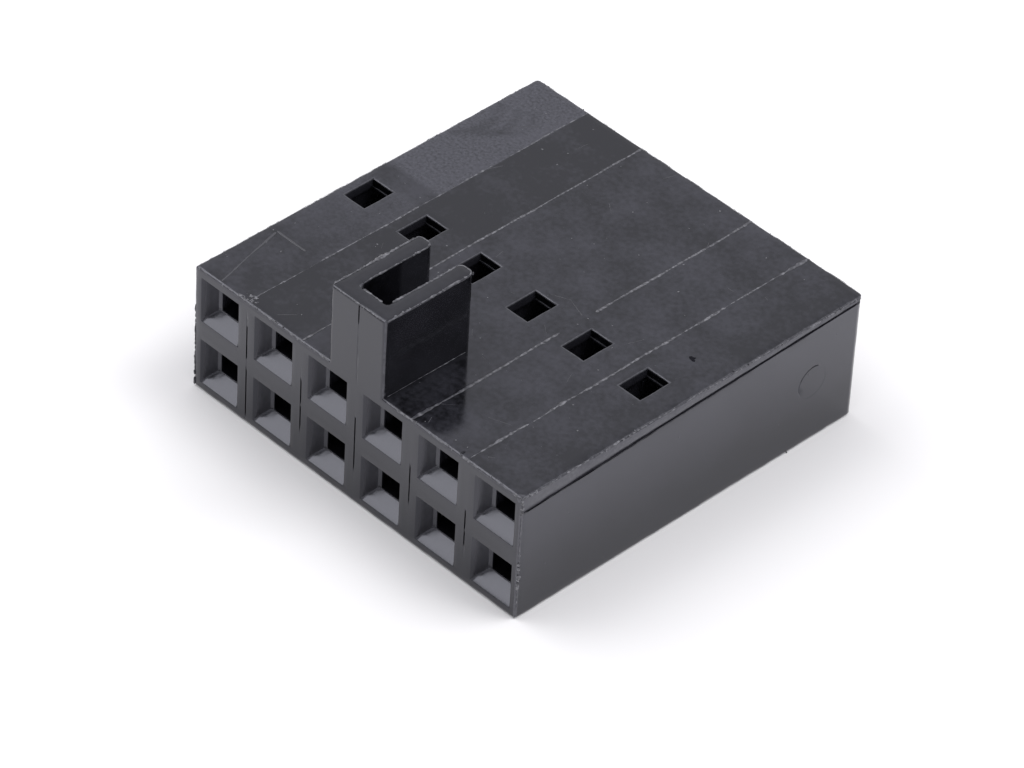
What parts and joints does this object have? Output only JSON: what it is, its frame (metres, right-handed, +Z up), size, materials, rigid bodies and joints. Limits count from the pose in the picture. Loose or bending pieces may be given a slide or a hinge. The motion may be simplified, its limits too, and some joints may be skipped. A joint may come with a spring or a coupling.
{
  "type": "connector housing",
  "caption": "Black dual-row crimp connector housing with square lead-ins, open terminal cavities, lock windows and an upright polarising key; mates with a pin header.",
  "frame": {"origin": "middle of the bounding box, on the plane that the housing lies on", "axes": "+X across the columns, to the right as seen from the mating face with the key up; +Y from the mating face to the wire side; +Z up, the way the key stands"},
  "size_m": [0.0152, 0.0152, 0.0081],
  "materials": {
    "black_polyester": "moulded, semi-gloss"
  },
  "bodies": {
    "root": {"housing": "black_polyester"}
  },
  "joints": []
}
